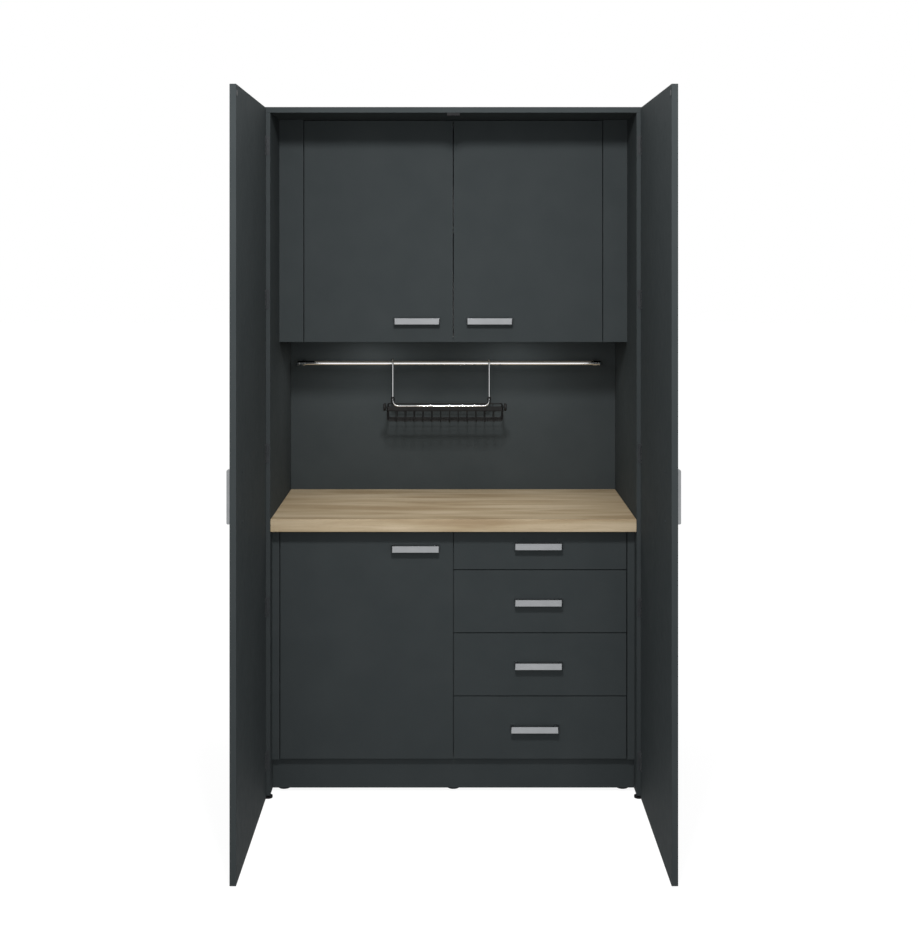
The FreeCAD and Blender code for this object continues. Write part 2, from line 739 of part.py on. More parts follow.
def bow_handle(label, turn, x, y, z):
    """A bar bent back at both ends, drawn from above with its feet on the X axis."""
    body = doc.addObject("PartDesign::Body", label)
    points = [
        ("0", "0"),
        ("0", "handle_projection"),
        ("handle_length", "handle_projection"),
        ("handle_length", "0"),
        ("handle_length - handle_leg", "0"),
        ("handle_length - handle_leg", "handle_projection - handle_bar"),
        ("handle_leg", "handle_projection - handle_bar"),
        ("handle_leg", "0"),
    ]
    sketch = outline(body, f"{label}_outline", "XY_Plane", points)
    pad = body.newObject("PartDesign::Pad", f"{label}_pad")
    pad.Profile = sketch
    pad.setExpression("Length", bind("handle_width"))
    doc.recompute()
    length, reach = sheet.get("handle_length"), sheet.get("handle_projection")
    corners = [FreeCAD.Vector(0, reach, 0), FreeCAD.Vector(length, reach, 0)]
    names = []
    for i, edge in enumerate(pad.Shape.Edges, start=1):
        flat = [FreeCAD.Vector(v.X, v.Y, 0) for v in edge.Vertexes]
        if flat[0].isEqual(flat[1], Part.Precision.confusion()) and any(
            flat[0].isEqual(corner, Part.Precision.confusion()) for corner in corners
        ):
            names.append(f"Edge{i}")
    rounding = body.newObject("PartDesign::Fillet", f"{label}_rounding")
    rounding.Base = (pad, names)
    rounding.setExpression("Radius", bind("handle_corner"))
    body.Tip = rounding
    body.Placement = FreeCAD.Placement(FreeCAD.Vector(), turn)
    place(body, x, y, z)
    return node(body)


def make_handles():
    x_axis, y_axis, z_axis = (FreeCAD.Vector(*unit) for unit in ((1, 0, 0), (0, 1, 0), (0, 0, 1)))
    level = FreeCAD.Rotation(x_axis, 180)
    half_width = "handle_width / 2"
    face = f"{FRONT} + upper_setback"
    z = f"{UPPER_BOTTOM} + upper_handle_rise + {half_width}"
    bow_handle("upper_door_left_handle", level, "-(handle_edge + handle_length)", face, z)
    bow_handle("upper_door_right_handle", level, "handle_edge", face, z)
    face = f"{FRONT} + base_setback"
    z = f"{WORKTOP_UNDERSIDE} - door_gap - base_handle_drop + {half_width}"
    bow_handle("base_door_handle", level, "-(handle_edge + handle_length)", face, z)
    shifts = ("drawer_handle_shift",) * 3 + ("bottom_drawer_handle_shift",)
    lifts = ("top_drawer_handle_lift", "0", "0", "0")
    for index, (shift, lift) in enumerate(zip(shifts, lifts)):
        low, high = drawer_span(index)
        x = f"{BASE_HALF} / 2 - {shift} - handle_length / 2"
        z = f"({low} + {high}) / 2 + {lift} + {half_width}"
        bow_handle(f"drawer_{index + 1}_handle", level, x, face, z)
    y = f"{FRONT} - {TALL_REACH} + tall_handle_edge"
    z = "tall_handle_height - handle_length / 2"
    outer = f"{TALL_INNER} + tall_board"
    right = FreeCAD.Rotation(z_axis, x_axis, y_axis, "ZXY")
    bow_handle("tall_door_right_handle", right, outer, f"{y} - {half_width}", z)
    left = FreeCAD.Rotation(z_axis, x_axis.negative(), y_axis.negative(), "ZXY")
    bow_handle("tall_door_left_handle", left, f"-({outer})", f"{y} + {half_width}", z)


# Rail and hanging shelf


def make_rail():
    length = f"{RAIL_LEFT} + {RAIL_RIGHT}"
    along_x = (1, 0, 0)
    node(rod("rail_tube", "rail_radius", length, f"-{RAIL_LEFT}", RAIL_Y, RAIL_Z, along_x))
    pieces = []
    for name, end, way in (("left", f"(-{RAIL_LEFT})", -1), ("right", RAIL_RIGHT, 1)):
        x = f"({end} - {way} * bracket_inset)"
        label = f"bracket_{name}"
        start = f"{x} - bracket_ring_width / 2"
        post_length = "rail_wall_gap"
        rosette_y = f"{FRONT} + {SPLASH_FACE} - rosette_board"
        ring = rod(
            f"{label}_ring",
            "bracket_ring_radius",
            "bracket_ring_width",
            start,
            RAIL_Y,
            RAIL_Z,
            along_x,
        )
        post = rod(
            f"{label}_post", "bracket_post_radius", post_length, x, RAIL_Y, RAIL_Z, (0, 1, 0)
        )
        rosette = rod(
            f"{label}_rosette", "rosette_radius", "rosette_board", x, rosette_y, RAIL_Z, (0, 1, 0)
        )
        bore = rod(
            f"{label}_bore",
            "rail_radius + bracket_ring_play",
            "bracket_ring_width + 2 * overrun",
            f"{start} - overrun",
            RAIL_Y,
            RAIL_Z,
            along_x,
        )
        pieces.append(cut(label, fuse(f"{label}_blank", [ring, post, rosette]), [bore]))
        pieces.append(rail_cap(f"rail_cap_{name}", end, way))
    node(group("rail_brackets", pieces))


def rail_cap(label, end, way):
    """A round cap with a domed face, on one end of the rail."""
    outward = (way, 0, 0)
    collar = rod(
        f"{label}_collar", "rail_cap_radius", "rail_cap_collar", end, RAIL_Y, RAIL_Z, outward
    )
    dome = doc.addObject("Part::Sphere", f"{label}_dome")
    turn = FreeCAD.Rotation(FreeCAD.Vector(0, 0, 1), FreeCAD.Vector(*outward))
    dome.Placement = FreeCAD.Placement(FreeCAD.Vector(), turn)
    dome.setExpression("Radius", bind("rail_cap_radius"))
    dome.Angle1 = 0
    place(dome, f"{end} + {way} * rail_cap_collar", RAIL_Y, RAIL_Z)
    return fuse(label, [collar, dome])


def bend(label, radius, angle, x_dir, y_dir, x, y, z):
    """A bent length of the frame's wire, about a centre, from one direction to another."""
    ring = doc.addObject("Part::Torus", label)
    first, second = FreeCAD.Vector(*x_dir), FreeCAD.Vector(*y_dir)
    turn = FreeCAD.Rotation(first, second, first.cross(second), "ZXY")
    ring.Placement = FreeCAD.Placement(FreeCAD.Vector(), turn)
    ring.setExpression("Radius1", bind(radius))
    ring.setExpression("Radius2", bind("frame_wire_radius"))
    ring.Angle3 = angle
    place(ring, x, y, z)
    return ring


def make_hanging_frame():
    y = f"({RAIL_Y} - {HOOK_RADIUS})"
    corner_z = f"{FRAME_BOTTOM} + frame_corner"
    pieces = []
    for name, x, inward in (("left", "(-hook_left)", 1), ("right", "hook_right", -1)):
        upright_length = f"{RAIL_Z} - ({corner_z})"
        pieces.append(
            rod(f"frame_upright_{name}", "frame_wire_radius", upright_length, x, y, corner_z)
        )
        over = bend(
            f"frame_hook_{name}", HOOK_RADIUS, 180, (0, 1, 0), (0, 0, 1), x, RAIL_Y, RAIL_Z
        )
        drop_z = f"{RAIL_Z} - hook_drop"
        behind = f"{RAIL_Y} + {HOOK_RADIUS}"
        drop = rod(f"frame_drop_{name}", "frame_wire_radius", "hook_drop", x, behind, drop_z)
        corner_x = f"{x} + {inward} * frame_corner"
        corner = bend(
            f"frame_corner_{name}", "frame_corner", 90, (-inward, 0, 0), (0, 0, -1), corner_x, y, corner_z
        )
        pieces += [over, drop, corner]
    start = "-hook_left + frame_corner"
    length = "hook_left + hook_right - 2 * frame_corner"
    pieces.append(rod("frame_bar", "frame_wire_radius", length, start, y, FRAME_BOTTOM, (1, 0, 0)))
    node(fuse("hanging_frame", pieces))


def make_basket():
    """Five welded grilles of square wire, and a knob on each end of the front rim.

    The frame stands inside the basket, against its back grille.
    """
    back = f"({RAIL_Y} - {HOOK_RADIUS} + frame_wire_radius + basket_wire)"
    front = f"({back} - basket_depth)"
    left, right = "(-basket_left)", "basket_right"
    wire = "basket_wire"
    width = "(basket_left + basket_right - basket_wire)"
    upright = (BASKET_BOTTOM, BASKET_TOP)
    rims = (("bottom", BASKET_BOTTOM), ("top", f"{BASKET_TOP} - basket_wire"))
    solids = []
    for name, y in (("front", front), ("back", f"({back} - {wire})")):
        along = (y, f"{y} + {wire}")
        wires = [
            board(f"basket_{name}_{part}", (left, right), along, (z, f"{z} + {wire}"))
            for part, z in rims
        ]
        for i in range(BASKET_BAYS + 1):
            x = f"({left} + {width} * {i} / {BASKET_BAYS})"
            wires.append(board(f"basket_{name}_wire_{i}", (x, f"{x} + {wire}"), along, upright))
        solids.append(fuse(f"basket_{name}", wires))
    inside = (f"{front} + {wire}", f"{back} - {wire}")
    for name, x in (("left", left), ("right", f"({right} - {wire})")):
        across = (x, f"{x} + {wire}")
        wires = [
            board(f"basket_{name}_{part}", across, inside, (z, f"{z} + {wire}")) for part, z in rims
        ]
        for i in range(1, BASKET_SIDE_BAYS):
            y = f"({front} + (basket_depth - {wire}) * {i} / {BASKET_SIDE_BAYS})"
            wires.append(board(f"basket_{name}_wire_{i}", across, (y, f"{y} + {wire}"), upright))
        solids.append(fuse(f"basket_{name}", wires))
    level = (BASKET_BOTTOM, f"{BASKET_BOTTOM} + {wire}")
    middle = f"(({front} + {back} - {wire}) / 2)"
    floor_x = (f"{left} + {wire}", f"{right} - {wire}")
    wires = [board("basket_floor_spine", floor_x, (middle, f"{middle} + {wire}"), level)]
    for i in range(1, BASKET_BAYS):
        x = f"({left} + {width} * {i} / {BASKET_BAYS})"
        wires.append(board(f"basket_floor_wire_{i}", (x, f"{x} + {wire}"), inside, level))
    solids.append(fuse("basket_floor", wires))
    knob_y = f"{front} + knob_radius - knob_overhang"
    knob_z = f"{BASKET_TOP} - {wire} / 2"
    for name, x in (("left", f"{left} - knob_length"), ("right", right)):
        solids.append(
            rod(f"basket_knob_{name}", "knob_radius", "knob_length", x, knob_y, knob_z, (1, 0, 0))
        )
    node(group("hanging_basket", solids))


make_housing()
make_glides()
make_tall_door("tall_door_left", -1)
make_tall_door("tall_door_right", 1)
make_tall_hinge_frames()
make_fillers()
upper_back = make_upper_cabinet()
base_backs = make_base_cabinets()
node(group("cabinet_backs", [upper_back, *base_backs]))
make_shelves()
make_plinth()
make_cabinet_doors()
channels = []
for index in range(4):
    channels += make_drawer(index)
node(group("drawer_runners", channels))
make_handles()
make_rail()
make_hanging_frame()
make_basket()
doc.recompute()

# Nothing is written unless every object is sound

for obj in doc.Objects:
    if {"Invalid", "Error"} & set(obj.State):
        raise RuntimeError(f"{obj.Label} failed: {obj.State}")
for obj in nodes:
    if obj.Shape.isNull() or not obj.Shape.isValid() or not obj.Shape.Solids:
        raise RuntimeError(f"{obj.Label} has no sound shape")

os.makedirs("parts", exist_ok=True)
for obj in nodes:
    obj.Shape.exportStep(f"parts/{obj.Label}.step")
print(f"{len(nodes)} nodes, {sum(len(obj.Shape.Solids) for obj in nodes)} solids")
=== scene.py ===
import json
import math

import bmesh
import bpy
from mathutils import Matrix, Vector


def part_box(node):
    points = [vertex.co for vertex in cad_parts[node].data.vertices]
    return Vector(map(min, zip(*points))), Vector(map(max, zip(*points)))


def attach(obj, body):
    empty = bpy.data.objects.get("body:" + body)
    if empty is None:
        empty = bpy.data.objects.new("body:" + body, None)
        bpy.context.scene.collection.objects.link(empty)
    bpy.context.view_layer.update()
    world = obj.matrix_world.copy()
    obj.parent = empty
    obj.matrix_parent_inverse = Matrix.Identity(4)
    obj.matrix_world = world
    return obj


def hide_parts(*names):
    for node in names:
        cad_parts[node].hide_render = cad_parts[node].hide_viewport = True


# Kitchenette unit behind two tall doors: its finishes, small fittings, light and camera.
# X runs along its width, Y from front to back, Z up. Every length is in metres.

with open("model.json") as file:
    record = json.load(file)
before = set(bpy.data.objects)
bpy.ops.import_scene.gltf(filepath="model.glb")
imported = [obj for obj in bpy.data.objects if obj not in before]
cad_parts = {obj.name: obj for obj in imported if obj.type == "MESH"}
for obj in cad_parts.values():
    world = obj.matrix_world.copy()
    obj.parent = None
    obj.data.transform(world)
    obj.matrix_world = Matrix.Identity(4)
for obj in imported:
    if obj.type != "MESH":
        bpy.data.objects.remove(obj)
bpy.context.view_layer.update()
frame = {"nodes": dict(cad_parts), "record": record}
nodes = frame["nodes"]

MM = 0.001

# The photograph's view: level, square to the unit, with its centre off the middle of the picture
PICTURE_WIDTH, PICTURE_HEIGHT = 919, 947
VANISHING_X, VANISHING_Y = 450.8, 255.3
MM_PER_PIXEL_AT_FRONT = 3.176
CAMERA_DISTANCE = 4.28
CAMERA_X, CAMERA_Z = -0.0083, 1.729
SENSOR_MM = 36

# The housing's front plane, where the lamps and the camera are measured from
FRONT_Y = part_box("housing_top")[0].y

# The white room
ROOM_LIGHT = 0.5
FLOOR_SIZE = 60
FLOOR_COLOUR = (0.24, 0.24, 0.24, 1)
FLOOR_GLOW = 0.9

# Lamps: watts, then a disc's width or a rectangle's two sides, then the place
FRONT_POWER, FRONT_SIZE, FRONT_PLACE = 50, (0.36,), (-0.02, FRONT_Y - 2.2, 2.98)
FRONT_AIM = (0, FRONT_Y + 0.1, 1.3)
FILL_POWER, FILL_SIZE, FILL_PLACE = 40, (3.2, 1.8), (0, FRONT_Y - 3.4, 1.25)
NICHE_POWER, NICHE_SIZE = 0.65, (0.24,)
NICHE_PLACES = ((-0.29, 0.37, 1.432), (0.22, 0.37, 1.432))
CEILING_POWER, CEILING_SIZE, CEILING_PLACE = 1.8, (1.2, 0.5), (0.1, FRONT_Y - 0.35, 2.9)
CEILING_SPREAD = math.radians(80)

DRAWERS = range(1, 5)
# Each hinged door with the side of its free edge: 1 for the right, -1 for the left
CABINET_DOORS = (("upper_door_left", 1), ("upper_door_right", -1), ("base_door", 1))
# Each tall door with the side of the housing it hangs on
TALL_DOORS = (("tall_door_left", -1), ("tall_door_right", 1))
HANDLE_SCREW_INSET = 6 * MM


# Shader helpers


class Shader:
    """A material under way: its node tree, with short calls to add and join nodes."""

    def __init__(self, name):
        self.material = bpy.data.materials.new(name)
        self.material.use_nodes = True
        self.tree = self.material.node_tree
        self.tree.nodes.clear()
        self.output = self.add("ShaderNodeOutputMaterial")
        self.place = self.add("ShaderNodeTexCoord").outputs["Object"]

    def add(self, kind, **settings):
        made = self.tree.nodes.new(kind)
        for name, value in settings.items():
            setattr(made, name, value)
        return made

    def join(self, source, socket):
        self.tree.links.new(source, socket)

    def stretched(self, scale):
        """The place on the object, in metres, with each axis scaled by its own factor."""
        mapping = self.add("ShaderNodeMapping")
        mapping.inputs["Scale"].default_value = scale
        self.join(self.place, mapping.inputs["Vector"])
        return mapping.outputs["Vector"]

    def noise(self, scale, detail=3, roughness=0.5, place=None, distortion=0):
        made = self.add("ShaderNodeTexNoise")
        made.inputs["Scale"].default_value = scale
        made.inputs["Detail"].default_value = detail
        made.inputs["Roughness"].default_value = roughness
        made.inputs["Distortion"].default_value = distortion
        self.join(place or self.place, made.inputs["Vector"])
        return made.outputs["Fac"]

    def ramp(self, factor, *stops):
        """Colours or greys at places from 0 to 1 along the factor."""
        made = self.add("ShaderNodeValToRGB")
        elements = made.color_ramp.elements
        while len(elements) < len(stops):
            elements.new(0.5)
        for element, (position, colour) in zip(elements, stops):
            element.position = position
            element.color = (*colour, 1)
        self.join(factor, made.inputs["Fac"])
        return made.outputs["Color"]

    def span(self, factor, low, high, start=0.3, end=0.7):
        """A number from low to high as the factor goes from start to end."""
        made = self.add("ShaderNodeMapRange")
        values = {"From Min": start, "From Max": end, "To Min": low, "To Max": high}
        for name, value in values.items():
            made.inputs[name].default_value = value
        self.join(factor, made.inputs["Value"])
        return made.outputs["Result"]

    def mix(self, factor, first, second):
        """The first colour where the factor is 0, and the second, a plain colour, where it is 1."""
        made = self.add("ShaderNodeMix", data_type="RGBA")
        self.join(factor, made.inputs[0])
        self.join(first, made.inputs[6])
        made.inputs[7].default_value = (*second, 1)
        return made.outputs[2]

    def bump(self, height, distance, strength=1, below=None):
        made = self.add("ShaderNodeBump")
        made.inputs["Strength"].default_value = strength
        made.inputs["Distance"].default_value = distance
        self.join(height, made.inputs["Height"])
        if below:
            self.join(below, made.inputs["Normal"])
        return made.outputs["Normal"]

    def finish(self, colour, roughness, normal=None, **constants):
        """Ends in one principled shader. The constants go straight on its sockets."""
        made = self.add("ShaderNodeBsdfPrincipled")
        self.join(colour, made.inputs["Base Color"])
        self.join(roughness, made.inputs["Roughness"])
        if normal:
            self.join(normal, made.inputs["Normal"])
        for name, value in constants.items():
            made.inputs[name.replace("_", " ")].default_value = value
        self.join(made.outputs[0], self.output.inputs["Surface"])
        return self.material


# Materials


def anthracite_board():
    """Matt anthracite melamine: an even colour with a faint mottle and a fine pearl structure."""
    make = Shader("anthracite_melamine")
    mottle = make.noise(9, detail=4)
    colour = make.ramp(mottle, (0.3, (0.0385, 0.0455, 0.0475)), (0.7, (0.0435, 0.0505, 0.0525)))
    pearl = make.noise(1400, detail=2)
    colour = make.mix(make.span(pearl, 0, 0.25), colour, (0.055, 0.062, 0.064))
    roughness = make.span(make.noise(35, detail=3), 0.72, 0.8)
    normal = make.bump(pearl, 0.00006, strength=0.5)
    return make.finish(colour, roughness, normal, Specular_IOR_Level=0.06)


def pale_board(banded=True):
    """White melamine of the cabinets' insides, with an anthracite band on the boards' front edges."""
    make = Shader("pale_melamine_banded" if banded else "pale_melamine")
    mottle = make.noise(12, detail=3)
    colour = make.ramp(mottle, (0.3, (0.66, 0.66, 0.64)), (0.7, (0.71, 0.71, 0.69)))
    if banded:
        facing = make.add("ShaderNodeSeparateXYZ")
        make.join(make.add("ShaderNodeTexCoord").outputs["Normal"], facing.inputs[0])
        on_edge = make.span(facing.outputs["Y"], 1, 0, -0.9, -0.8)
        colour = make.mix(on_edge, colour, (0.041, 0.048, 0.05))
    pearl = make.noise(1400, detail=2)
    roughness = make.span(make.noise(40), 0.42, 0.5)
    normal = make.bump(pearl, 0.00006, strength=0.5)
    return make.finish(colour, roughness, normal, Specular_IOR_Level=0.35)


def oak_worktop():
    """Light oak laminate: broad bands, streaks, fibres and pores that run along the worktop."""
    make = Shader("light_oak")
    bands = make.noise(1, detail=2, place=make.stretched((2, 18, 18)), distortion=0.6)
    along = make.stretched((4.2, 80, 80))
    streaks = make.noise(1, detail=5, roughness=0.6, place=along, distortion=0.6)
    fibres = make.noise(1, detail=4, roughness=0.65, place=make.stretched((9, 420, 420)))
    pores = make.noise(1, detail=2, place=make.stretched((55, 1500, 1500)))
    colour = make.ramp(
        bands,
        (0.34, (0.345, 0.255, 0.15)),
        (0.46, (0.43, 0.335, 0.21)),
        (0.54, (0.47, 0.375, 0.245)),
        (0.66, (0.55, 0.45, 0.31)),
    )
    colour = make.mix(make.span(streaks, 0.4, 0, 0.3, 0.5), colour, (0.315, 0.23, 0.135))
    colour = make.mix(make.span(streaks, 0, 0.3, 0.52, 0.7), colour, (0.58, 0.485, 0.345))
    colour = make.mix(make.span(fibres, 0.25, 0), colour, (0.30, 0.22, 0.135))
    colour = make.mix(make.span(pores, 0, 0.35, 0.62, 0.72), colour, (0.2, 0.14, 0.08))
    roughness = make.span(fibres, 0.42, 0.55)
    normal = make.bump(pores, 0.00008, strength=0.4)
    normal = make.bump(fibres, 0.0001, strength=0.35, below=normal)
    return make.finish(colour, roughness, normal, Specular_IOR_Level=0.35)


def satin_aluminium():
    """Anodised aluminium with the fine lines of its brushing."""
    make = Shader("satin_aluminium")
    lines = make.noise(1, detail=3, place=make.stretched((14, 1800, 1800)))
    colour = make.ramp(make.noise(30), (0.3, (0.31, 0.32, 0.33)), (0.7, (0.335, 0.345, 0.355)))
    roughness = make.span(lines, 0.3, 0.42)
    return make.finish(colour, roughness, make.bump(lines, 0.00004, strength=0.5), Metallic=1)


def chrome():
    """Bright chrome plate with a faint haze."""
    make = Shader("chrome_plate")
    haze = make.noise(60, detail=4)
    colour = make.ramp(haze, (0.3, (0.86, 0.87, 0.88)), (0.7, (0.9, 0.91, 0.92)))
    return make.finish(colour, make.span(haze, 0.04, 0.08), Metallic=1)


def coated(name, low, high, smooth, rough, grain=900, **constants):
    """A painted, lacquered or moulded surface: close shades of one colour, and a fine grain."""
    make = Shader(name)
    colour = make.ramp(make.noise(25), (0.3, low), (0.7, high))
    speck = make.noise(grain, detail=2)
    roughness = make.span(make.noise(70), smooth, rough)
    return make.finish(colour, roughness, make.bump(speck, 0.00008, strength=0.5), **constants)


def bright_steel():
    """Nickel or zinc plated steel with a faint drawn structure."""
    make = Shader("plated_steel")
    cloud = make.noise(80, detail=4)
    colour = make.ramp(cloud, (0.3, (0.5, 0.51, 0.53)), (0.7, (0.6, 0.61, 0.62)))
    roughness = make.span(make.noise(300), 0.2, 0.34)
    return make.finish(colour, roughness, make.bump(cloud, 0.00005, strength=0.4), Metallic=1)


FINISHES = {
    "anthracite_board": anthracite_board(),
    "pale_board": pale_board(),
    "oak_worktop": oak_worktop(),
    "satin_aluminium": satin_aluminium(),
    "chrome": chrome(),
    "black_wire": coated(
        "black_powder_coat",
        (0.006, 0.006, 0.006),
        (0.01, 0.01, 0.01),
        0.55,
        0.68,
        Specular_IOR_Level=0.25,
    ),
    "black_steel": coated(
        "dark_lacquered_steel",
        (0.025, 0.028, 0.03),
        (0.034, 0.037, 0.04),
        0.45,
        0.56,
        Specular_IOR_Level=0.25,
    ),
    "bright_steel": bright_steel(),
    "black_plastic": coated(
        "black_moulded_plastic",
        (0.011, 0.011, 0.012),
        (0.015, 0.015, 0.016),
        0.55,
        0.66,
        grain=1600,
        Specular_IOR_Level=0.1,
    ),
}

# Pale boards whose front faces show as a whole: the backs, and the boards of the drawer boxes
PLAIN_PALE = pale_board(banded=False)
PLAIN_PALE_NODES = {"cabinet_backs"} | {f"drawer_{number}_box" for number in DRAWERS}

SLOT_OF = {part["node"]: part["material_slot"] for part in frame["record"]["subparts"]}

# The rounding of each slot's edges. Chrome and wire are round already.
EDGE_ROUNDING_MM = {
    "anthracite_board": 0.9,
    "pale_board": 0.5,
    "oak_worktop": 2.2,
    "satin_aluminium": 0.7,
    "black_steel": 0.2,
    "bright_steel": 0.25,
    "black_plastic": 0.6,
}


def dress_nodes():
    """Gives each CAD node its finish, and rounds the edges of boards, bars and pressings."""
    for name, piece in nodes.items():
        slot = SLOT_OF[name]
        piece.data.materials.clear()
        piece.data.materials.append(PLAIN_PALE if name in PLAIN_PALE_NODES else FINISHES[slot])
        if slot not in EDGE_ROUNDING_MM:
            continue
        weld = piece.modifiers.new("joined_edges", "WELD")
        weld.merge_threshold = 0.01 * MM
        bevel = piece.modifiers.new("rounded_edges", "BEVEL")
        bevel.width = EDGE_ROUNDING_MM[slot] * MM
        bevel.segments = 2
        bevel.limit_method = "ANGLE"
        bevel.angle_limit = math.radians(40)
        bevel.harden_normals = True


# Shapes


class Shape:
    """Faces gathered into one mesh, which becomes a piece that rides on a body."""

    def __init__(self):
        self.faces = bmesh.new()

    def turned(self, profile, place, axis, segments=12):
        """A turned shape: radii at heights along an axis, from a place."""
        turn = Vector(axis).to_track_quat("Z", "Y").to_matrix().to_4x4()
        at = Matrix.Translation(place) @ turn
        rings = []
        for radius, height in profile:
            ring = []
            for i in range(segments if radius else 1):
                angle = math.tau * i / segments
                spot = Vector((radius * math.cos(angle), radius * math.sin(angle), height))
                ring.append(self.faces.verts.new(at @ spot))
            rings.append(ring)
        for low, high in zip(rings, rings[1:]):
            for i in range(segments):
                corners = [low[i % len(low)], low[(i + 1) % len(low)]]
                corners += [high[(i + 1) % len(high)], high[i % len(high)]]
                self.faces.faces.new(dict.fromkeys(corners))

    def screw(self, place, axis, radius):
        """A low domed screw head with a round socket."""
        shares = ((1, 0), (1, 0.2), (0.8, 0.42), (0.45, 0.5), (0.38, 0.15), (0, 0.1))
        self.turned([(radius * a, radius * b) for a, b in shares], place, axis)

    def cap(self, place, axis, radius, height):
        """A flat round cap with a softened edge."""
        profile = [(radius, 0), (radius, height * 0.6), (radius * 0.88, height), (0, height)]
        self.turned(profile, place, axis, 20)

    def slab(self, low, high):
        """A box between two corners."""
        size = [b - a for a, b in zip(low, high)]
        middle = [(a + b) / 2 for a, b in zip(low, high)]
        at = Matrix.Translation(middle) @ Matrix.Diagonal((*size, 1))
        bmesh.ops.create_cube(self.faces, size=1, matrix=at)

    def wires(self, runs):
        """Round wires. Each run gives its path, its radius and whether it is a closed ring."""
        curve = bpy.data.curves.new("wires", "CURVE")
        curve.dimensions = "3D"
        curve.bevel_depth = 1
        curve.bevel_resolution = 2
        curve.use_fill_caps = True
        for path, radius, closed in runs:
            spline = curve.splines.new("POLY")
            spline.points.add(len(path) - 1)
            spline.use_cyclic_u = closed
            for point, place in zip(spline.points, path):
                point.co = (*place, 1)
                point.radius = radius
        holder = bpy.data.objects.new("wires", curve)
        mesh = bpy.data.meshes.new_from_object(holder)
        self.faces.from_mesh(mesh)
        bpy.data.objects.remove(holder)
        bpy.data.curves.remove(curve)
        bpy.data.meshes.remove(mesh)

    def piece(self, name, slot, body, replaced=None):
        """Makes the piece, in place of a CAD node where one is named."""
        bmesh.ops.recalc_face_normals(self.faces, faces=self.faces.faces)
        mesh = bpy.data.meshes.new(name)
        self.faces.to_mesh(mesh)
        self.faces.free()
        mesh.shade_smooth()
        mesh.set_sharp_from_angle(angle=math.radians(38))
        mesh.materials.append(FINISHES[slot])
        made = bpy.data.objects.new(name, mesh)
        bpy.context.scene.collection.objects.link(made)
        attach(made, body)
        if replaced:
            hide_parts(replaced)


def rounded(points, radius, steps=5, closed=False):
    """The points of a path with its corners rounded."""
    points = [Vector(point) for point in points]
    if closed:
        corners = list(zip(points[-1:] + points[:-1], points, points[1:] + points[:1]))
        path = []
    else:
        corners = list(zip(points, points[1:], points[2:]))
        path = [points[0]]
    for before, corner, after in corners:
        back, on = (before - corner).normalized(), (after - corner).normalized()
        half = back.angle(on) / 2
        centre = corner + (back + on).normalized() * radius / math.sin(half)
        first = corner + back * radius / math.tan(half) - centre
        last = corner + on * radius / math.tan(half) - centre
        for i in range(steps + 1):
            path.append(centre + first.slerp(last, i / steps).normalized() * radius)
    if not closed:
        path.append(points[-1])
    return path


# The hanging shelf's basket


